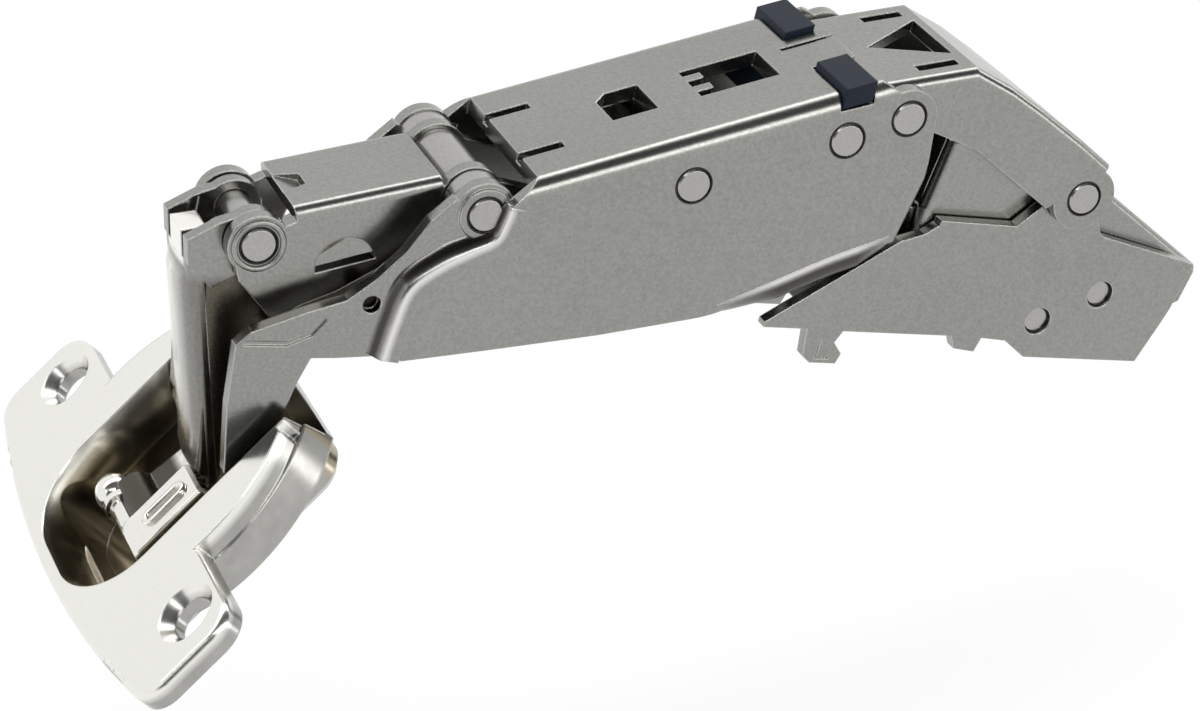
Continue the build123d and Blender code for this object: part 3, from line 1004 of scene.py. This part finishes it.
def mark_fold(piece: bpy.types.Object, shares: list[float], ends: list[float]) -> None:
    """Note on each point of lofted folds how far down the fold it lies and how near an end.

    Args:
        piece: The folds, lofted one after the other.
        shares: Share down the fold of each point of a section.
        ends: Strength of the painted highlight and shade at each section.
    """
    places = [divmod(number, len(shares)) for number in range(len(piece.data.vertices))]
    downs = [shares[point] for _, point in places]
    fades = [ends[section % len(ends)] for section, _ in places]
    for name, values in ((FOLD_SHARE, downs), (FOLD_FADE, fades)):
        piece.data.attributes.new(name, "FLOAT", "POINT").data.foreach_set("value", values)


@dataclass
class JoggleFolds:
    """Pressed S-folds where the outer lever's front plates step inwards."""

    shelf: FinishShelf
    path: tuple[Flat, ...] = (
        (-84.6, -1.55), (-84.15, 2.6), (-83.3, 6.4), (-80.6, 9.0), (-77.9, 10.7), (-75.5, 12.2),
        (-74.8, 14.2), (-74.5, 16.1),
    )
    wall_half: float = 11.43
    plate_half: float = 9.97
    sunk: float = 9.6
    tuck: float = 0.2
    reach_in: float = 1.5
    crest_in: float = 0.8
    brink: float = 0.2
    brink_share: float = 0.3
    brink_point: int = 3
    reach_out: float = 1.7
    reach_boss: float = 1.0
    narrows: Flat = (0.5, 0.72)
    fade: float = 0.06
    steps: int = 12
    stretches: int = 6

    def section(self, reach: float, top: float) -> list[Flat]:
        """One cross-section of the fold.

        Args:
            reach: How far the fold runs out on the plate.
            top: Height of the fold's crest.

        Returns:
            Closed loop of points, from the wall towards the plate.
        """
        root = -self.reach_in - self.tuck
        shape = [(root, top - self.tuck), (-self.reach_in, top), (-self.crest_in, top)]
        for k in range(self.steps + 1):
            t = k / self.steps
            half = top + (self.plate_half - top) * t * t * (3.0 - 2.0 * t)
            shape.append((self.brink + t * (reach - self.brink), half))
        return [*shape, (reach, self.sunk), (root, self.sunk)]

    def share(self, number: int) -> float:
        """How far down the fold a point of the section lies."""
        down = (number - self.brink_point) / self.steps
        return 0.0 if down < 0.0 else min(1.0, self.brink_share + (1.0 - self.brink_share) * down)

    def build(self) -> None:
        """Make the folds of both sides."""
        line = smooth_line(self.path, self.stretches)
        last = len(line) - 1
        shapes = []
        for k in range(len(line)):
            share = (k / last - self.narrows[0]) / (self.narrows[1] - self.narrows[0])
            share = min(max(share, 0.0), 1.0)
            reach = self.reach_out + (self.reach_boss - self.reach_out) * share
            shapes.append(self.section(reach, self.wall_half - (self.tuck if k == last else 0.0)))
        piece = lofted_pair("joggle_folds", self.shelf.take(Finish.FOLD), line, shapes)
        # The shares set where the painted highlight and painted shade of the fold finish fall across the
        # fold.
        shares = [self.share(number) for number in range(len(shapes[0]))]
        ends = [min(1.0, (last - k) / last / self.fade) for k in range(len(line))]
        mark_fold(piece, shares, ends)
        settle(piece, Body.OUTER)


@dataclass
class EdgeRolls:
    """Rolled-in lower edges at the rear of the outer lever."""

    shelf: FinishShelf
    path: tuple[Flat, ...] = (
        (-30.6, 13.9), (-34.0, 12.4), (-37.4, 10.85), (-42.4, 8.2), (-48.4, 5.05),
    )
    wall_half: float = 11.42
    wall_in: float = 9.92
    tuck: float = 0.2
    start: float = -1.5
    reach: float = 1.5
    swell: float = 0.25
    first_share: float = 0.12
    last_share: float = 0.72
    dark_from: float = 0.27
    steps: int = 10
    stretches: int = 6

    def section(self, reach: float) -> list[Flat]:
        """One cross-section of the roll.

        Args:
            reach: How far the roll stands beyond the wall's lower edge.

        Returns:
            Closed loop of points, from the wall outwards.
        """
        root = self.start - self.tuck
        shape = [(root, self.wall_half - self.tuck)]
        for k in range(self.steps + 1):
            turn = math.pi / 2.0 * k / self.steps
            off = self.start + (reach - self.start) * math.sin(turn)
            shape.append((off, self.wall_in + (self.wall_half - self.wall_in) * math.cos(turn)))
        return [*shape, (root, self.wall_in)]

    def build(self) -> None:
        """Make the rolls of both sides."""
        line = smooth_line(self.path, self.stretches)
        last = len(line) - 1
        swells = [min(1.0, min(k, last - k) / last / self.swell) for k in range(len(line))]
        shapes = [self.section(self.reach * swell) for swell in swells]
        piece = lofted_pair("lever_edge_rolls", self.shelf.take(Finish.FOLD), line, shapes)
        # The shares set where the painted highlight and painted shade of the fold finish fall across the
        # roll.
        rise = self.last_share - self.first_share
        parts = [min(1.0, k / self.steps / self.dark_from) for k in range(self.steps + 1)]
        mark_fold(piece, [0.0, *(self.first_share + rise * part for part in parts), 1.0], swells)
        settle(piece, Body.OUTER)


@dataclass
class ArmSkirts:
    """Rolled-in lower edges of the inner lever, dark with painted shade behind the front plates."""

    shelf: FinishShelf
    path: tuple[Flat, ...] = (
        (-95.2, 0.0), (-94.2, 0.2), (-92.6, 1.5), (-89.0, 3.3), (-83.0, 7.4), (-77.0, 10.2),
    )
    y_in: float = 4.75
    y_out: float = 5.65
    lap: float = 0.7
    drop: float = 3.0
    end_drop: float = 0.8
    first_drop: float = 0.3
    drop_slope: float = 2.5
    round_parts: Flat = (0.8, 0.95)
    corner: float = 0.12
    lip: float = 0.4
    stretches: int = 5

    def section(self, share: float) -> list[Flat]:
        """One cross-section of the skirt.

        Args:
            share: How far along the skirt it lies.

        Returns:
            Closed loop of points, with a rounded lower edge.
        """
        drop = self.drop + (self.end_drop - self.drop) * share * share
        drop = drop * min(1.0, self.first_drop + share * self.drop_slope)
        round_from, round_to = (-drop * part for part in self.round_parts)
        return [
            (self.lap, self.y_in),
            (self.lap, self.y_out),
            (round_from, self.y_out),
            (round_to, self.y_out - self.corner),
            (-drop, self.y_out - self.lip),
            (round_to, self.y_in + self.corner),
            (round_from, self.y_in),
        ]

    def build(self) -> None:
        """Make the skirts of both walls."""
        line = smooth_line(self.path, self.stretches)
        shapes = [self.section(k / (len(line) - 1)) for k in range(len(line))]
        piece = lofted_pair("inner_lever_skirts", self.shelf.take(Finish.OILED), line, shapes)
        settle(piece, Body.INNER)


@dataclass
class FrontLinkDress:
    """Crowned strap, side flanges, bright foot, axle end and wire loop of the front link."""

    shelf: FinishShelf
    strap_top: Flat = (-104.2, 4.2)
    strap_end: Flat = (-97.89, -20.6)
    strap_half: float = 4.3
    strap_low: float = -0.9
    strap_crown: float = 1.7
    strap_fade: float = 0.08
    strap_stops: tuple[float, ...] = (0.3, 0.5, 0.7)
    strap_steps: int = 24
    strap_back: float = 0.3
    back_share: float = 0.99
    crown_end: float = 0.55
    flange: tuple[Flat, ...] = (
        (-102.4, 4.6), (-97.6, 5.0), (-94.6, 0.6), (-94.2, -4.0), (-95.4, -12.0), (-96.4, -19.6),
        (-98.6, -19.0),
    )
    flange_in: float = 3.0
    flange_out: float = 4.25
    flange_edge: float = 0.2
    foot: tuple[Flat, ...] = (
        (-9.2, -2.7), (-8.8, -1.85), (-8.1, -1.6), (0.5, -1.6), (0.9, -2.0), (0.9, -3.5),
        (-8.6, -3.5), (-9.2, -3.3),
    )
    foot_span: Flat = (-8.0, -2.3)
    foot_edge: float = 0.3
    axle: Flat = (-8.1, -3.3)
    axle_end: tuple[Flat, ...] = (
        (-2.5, 0.0), (-2.5, 1.35), (2.3, 1.35), (2.4, 1.85), (3.2, 1.9), (3.4, 1.4), (3.9, 1.35),
        (4.3, 1.9), (5.0, 2.15), (5.8, 2.18), (6.6, 1.9), (7.2, 1.3), (7.5, 0.6), (7.55, 0.0),
    )
    axle_steps: int = 40
    loop_mid: Place = (-3.2, -5.4, -1.42)
    loop_long: float = 1.9
    loop_half: float = 0.72
    loop_steps: int = 12
    wire: float = 0.36
    wire_steps: int = 4

    def strap(self) -> bpy.types.Object:
        """Crown the strap's front.

        Returns:
            The crowned skin.
        """
        top = Vector((self.strap_top[0], 0.0, self.strap_top[1]))
        run = Vector((self.strap_end[0], 0.0, self.strap_end[1])) - top
        out = Vector((run.z, 0.0, -run.x)).normalized()
        fade = self.strap_fade
        sections = []
        for share in (0.0, fade / 3, fade, *self.strap_stops, 1.0 - fade, 1.0):
            middle = top + run * share
            full = min(1.0, share / fade, (1.0 - share) / fade)
            crown = self.strap_crown * (self.crown_end + (1.0 - self.crown_end) * full)
            loop = []
            for k in range(self.strap_steps + 1):
                turn = math.pi * k / self.strap_steps
                y = -self.strap_half * math.cos(turn)
                rise = self.strap_low + crown * math.sin(turn)
                loop.append(middle + out * rise + Vector((0.0, y, 0.0)))
            back = middle + out * (self.strap_low - self.strap_back)
            half = Vector((0.0, self.strap_half * self.back_share, 0.0))
            sections.append([*loop, back + half, back - half])
        book = bmesh.new()
        add_loft(book, sections)
        return finished(book, "link_strap_crown", self.shelf.take(Finish.LINK))

    def flanges(self) -> bpy.types.Object:
        """Fold the strap's two side flanges, dark with painted shade.

        Returns:
            Both flanges as one piece.
        """
        book = bmesh.new()
        for side in SIDES:
            faces = (side * self.flange_in, side * self.flange_out)
            add_plate(book, list(self.flange), faces, self.flange_edge)
        return finished(book, "link_side_flanges", self.shelf.take(Finish.OILED))

    def foot_plate(self) -> bpy.types.Object:
        """Lay the bright foot between the axle and the strap.

        Returns:
            The foot.
        """
        book = bmesh.new()
        outline = [CUP.place(u, 0.0, n) for u, n in self.foot]
        add_plate(book, [(p.x, p.z) for p in outline], self.foot_span, self.foot_edge)
        return finished(book, "link_foot_plate", self.shelf.take(Finish.FOOT))

    def axle_ball(self) -> bpy.types.Object:
        """Turn the axle's visible end.

        Returns:
            The collar and ball.
        """
        book = bmesh.new()
        centre = CUP.place(self.axle[0], 0.0, self.axle[1])
        ring = [book.verts.new((centre + Vector((r, y, 0.0))) * MM) for y, r in self.axle_end]
        lines = [book.edges.new(pair) for pair in zip(ring, ring[1:])]
        bmesh.ops.spin(
            book,
            geom=ring + lines,
            cent=centre * MM,
            axis=ACROSS,
            angle=math.tau,
            steps=self.axle_steps,
            use_merge=True,
        )
        return finished(book, "link_axle_ball", self.shelf.take(Finish.FOOT))

    def wire_loop(self) -> bpy.types.Object:
        """Bend the wire loop on the foot.

        Returns:
            The loop.
        """
        turns = [math.pi * (k / self.loop_steps - 0.5) for k in range(self.loop_steps + 1)]
        half = self.loop_half
        bends = [(self.loop_long + half * math.cos(a), half * math.sin(a)) for a in turns]
        bends += [(-u, -y) for u, y in bends]
        curve = bpy.data.curves.new("wire_loop", "CURVE")
        curve.dimensions = "3D"
        curve.bevel_depth = self.wire * MM
        curve.bevel_resolution = self.wire_steps
        line = curve.splines.new("POLY")
        line.points.add(len(bends) - 1)
        mid_u, mid_y, mid_n = self.loop_mid
        for point, (u, y) in zip(line.points, bends):
            point.co = (*(CUP.place(mid_u + u, mid_y + y, mid_n) * MM), 1.0)
        line.use_cyclic_u = True
        piece = evaluated_copy(linked("wire_loop", curve), "link_wire_loop")
        for face in piece.data.polygons:
            face.use_smooth = True
        piece.data.materials.clear()
        piece.data.materials.append(self.shelf.take(Finish.FOOT))
        return piece

    def build(self) -> None:
        """Make every piece that rides on the front link."""
        settle(self.strap(), Body.LINK)
        settle(self.flanges(), Body.LINK)
        for piece in (self.foot_plate(), self.axle_ball(), self.wire_loop()):
            settle(piece, Body.LINK)


@dataclass(frozen=True)
class StripLamp:
    """A long soft lamp above the hinge: angle up from the back, width as an angle, brightness."""

    name: str
    angle: float
    span: float
    bright: float
    away: float = 1.4
    long: float = 6.0
    gain: float = 4.0

    def build(self) -> None:
        """Hang the lamp, hidden from the camera."""
        turn = math.radians(self.angle)
        data = bpy.data.lights.new(self.name, "AREA")
        data.shape = "RECTANGLE"
        data.size = self.long
        data.size_y = 2.0 * self.away * math.tan(math.radians(self.span / 2.0))
        data.energy = self.gain * data.size * data.size_y * self.bright
        made = linked(self.name, data)
        out = Vector((0.0, math.cos(turn), math.sin(turn)))
        side = Vector((1.0, 0.0, 0.0))
        axes = Matrix((side, out.cross(side), out)).transposed().to_4x4()
        made.matrix_world = Matrix.Translation(out * self.away) @ axes
        made.visible_camera = False


@dataclass
class Studio:
    """Floor, surrounding light, dark boards for the reflections, and the camera."""

    eye: Place = (-0.2091, -0.2843, 0.13693)
    right: Place = (0.899, -0.373, 0.229)
    up: Place = (-0.034, 0.463, 0.886)
    lens: float = 99.0
    sensor: float = 36.0
    nearest: float = 0.01
    table_up: Place = (-0.247, 0.0, 0.969)
    floor_half: float = 3.0
    floor_drop: float = 19.0
    floor_white: float = 0.84
    floor_tones: Flat = (0.94, 0.97)
    floor_cloud: float = 40.0
    fill: float = 0.62
    lamps: tuple[StripLamp, ...] = (
        StripLamp("rear_strip", 65.0, 18.0, 2.4),
        StripLamp("front_strip", 142.0, 18.0, 2.0),
    )
    top_board: Place = (0.0, -0.37, 1.3)
    top_size: Flat = (6.0, 1.15)
    eye_board: Place = (-0.62, -0.72, 0.20)
    eye_size: Flat = (0.85, 0.62)
    board_tone: float = 0.10

    def panel(
        self, name: str, middle: Vector, side: Vector, rise: Vector
    ) -> tuple[bpy.types.Object, NodeBook]:
        """Make a flat stage panel with an empty material.

        Args:
            name: Name of the panel and its material.
            middle: Its middle in metres.
            side: From its middle to one side.
            rise: From its middle to the next side.

        Returns:
            The panel, and the tree of its material.
        """
        mesh = bpy.data.meshes.new(name)
        mesh.from_pydata([tuple(middle + side * a + rise * b) for a, b in SQUARE], [], [(0, 1, 2, 3)])
        mesh.validate()
        made = linked(name, mesh)
        material, book = new_material(name)
        mesh.materials.append(material)
        return made, book

    def floor(self) -> None:
        """Lay a pale floor, clear from below, under the lowest place the cup swings to."""
        normal = Vector(self.table_up).normalized()
        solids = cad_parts.values()
        low = min(normal.dot(vertex.co) for solid in solids for vertex in solid.data.vertices)
        side = Vector(ACROSS)
        ahead = side.cross(normal)
        middle = normal * (low - self.floor_drop * MM)
        _, book = self.panel("pale_floor", middle, ahead * self.floor_half, side * self.floor_half)
        shade = book.noise(book.place(), self.floor_cloud)
        tone = book.mix(shade, *((white,) * 3 for white in self.floor_tones))
        lit = book.add("ShaderNodeBsdfDiffuse", {}, {"Color": tone})
        pale = book.add("ShaderNodeEmission", {}, {"Color": WHITE, "Strength": 1.0})
        top = book.add("ShaderNodeMixShader", {}, {0: book.shown() * self.floor_white, 1: lit, 2: pale})
        under = book.add("ShaderNodeNewGeometry", {}, {}, "Backfacing")
        clear = book.add("ShaderNodeBsdfTransparent", {}, {})
        shader = book.add("ShaderNodeMixShader", {}, {0: under, 1: top, 2: clear})
        book.surface(shader)

    def board(self, name: str, middle: Place, size: Flat) -> None:
        """Hang a dark board, facing the hinge, that only the polished faces mirror.

        Args:
            name: Name of the board.
            middle: Its middle in metres.
            size: Its length along the hinge and its other side.
        """
        out = Vector(middle).normalized()
        side = (Vector((1.0, 0.0, 0.0)) - out * out.x).normalized()
        rise = out.cross(side)
        made, book = self.panel(name, Vector(middle), side * (size[0] / 2.0), rise * (size[1] / 2.0))
        tone = (self.board_tone,) * 3
        shader = book.add("ShaderNodeEmission", {}, {"Color": (*tone, 1.0), "Strength": 1.0})
        book.surface(shader)
        made.visible_camera = False
        made.visible_diffuse = False
        made.visible_transmission = False
        made.visible_shadow = False

    def surround(self) -> None:
        """Light the hinge from all round with a white room."""
        world = bpy.data.worlds.new("studio")
        bpy.context.scene.world = world
        world.use_nodes = True
        book = NodeBook(world.node_tree)
        room = book.add("ShaderNodeBackground", {}, {"Color": WHITE, "Strength": self.fill})
        white = book.add("ShaderNodeBackground", {}, {"Color": WHITE, "Strength": 1.0})
        final = book.add("ShaderNodeMixShader", {}, {0: book.shown(), 1: room, 2: white})
        book.surface(final, "ShaderNodeOutputWorld")

    def camera(self) -> None:
        """Set the camera where the hinge was photographed from."""
        data = bpy.data.cameras.new("camera")
        data.sensor_width = self.sensor
        data.lens = self.lens
        data.clip_start = self.nearest
        made = linked("camera", data)
        right = Vector(self.right).normalized()
        up = Vector(self.up)
        up = (up - right * up.dot(right)).normalized()
        turn = Matrix((right, up, right.cross(up))).transposed().to_4x4()
        made.matrix_world = Matrix.Translation(Vector(self.eye)) @ turn
        bpy.context.scene.camera = made

    def build(self) -> None:
        """Set up everything round the hinge."""
        self.camera()
        self.surround()
        self.floor()
        self.board("top_board", self.top_board, self.top_size)
        self.board("eye_board", self.eye_board, self.eye_size)
        for lamp in self.lamps:
            lamp.build()
        bpy.context.scene.view_settings.view_transform = "Standard"


def main() -> None:
    """Dress the hinge and set up the studio."""
    logging.basicConfig(level=logging.INFO, format="%(name)s: %(message)s")
    Studio().build()
    shelf = FinishShelf()
    SolidDress(shelf).dress()
    RivetRims(shelf).build()
    JoggleFolds(shelf).build()
    EdgeRolls(shelf).build()
    ArmSkirts(shelf).build()
    FrontLinkDress(shelf).build()


if __name__ == "__main__":
    main()
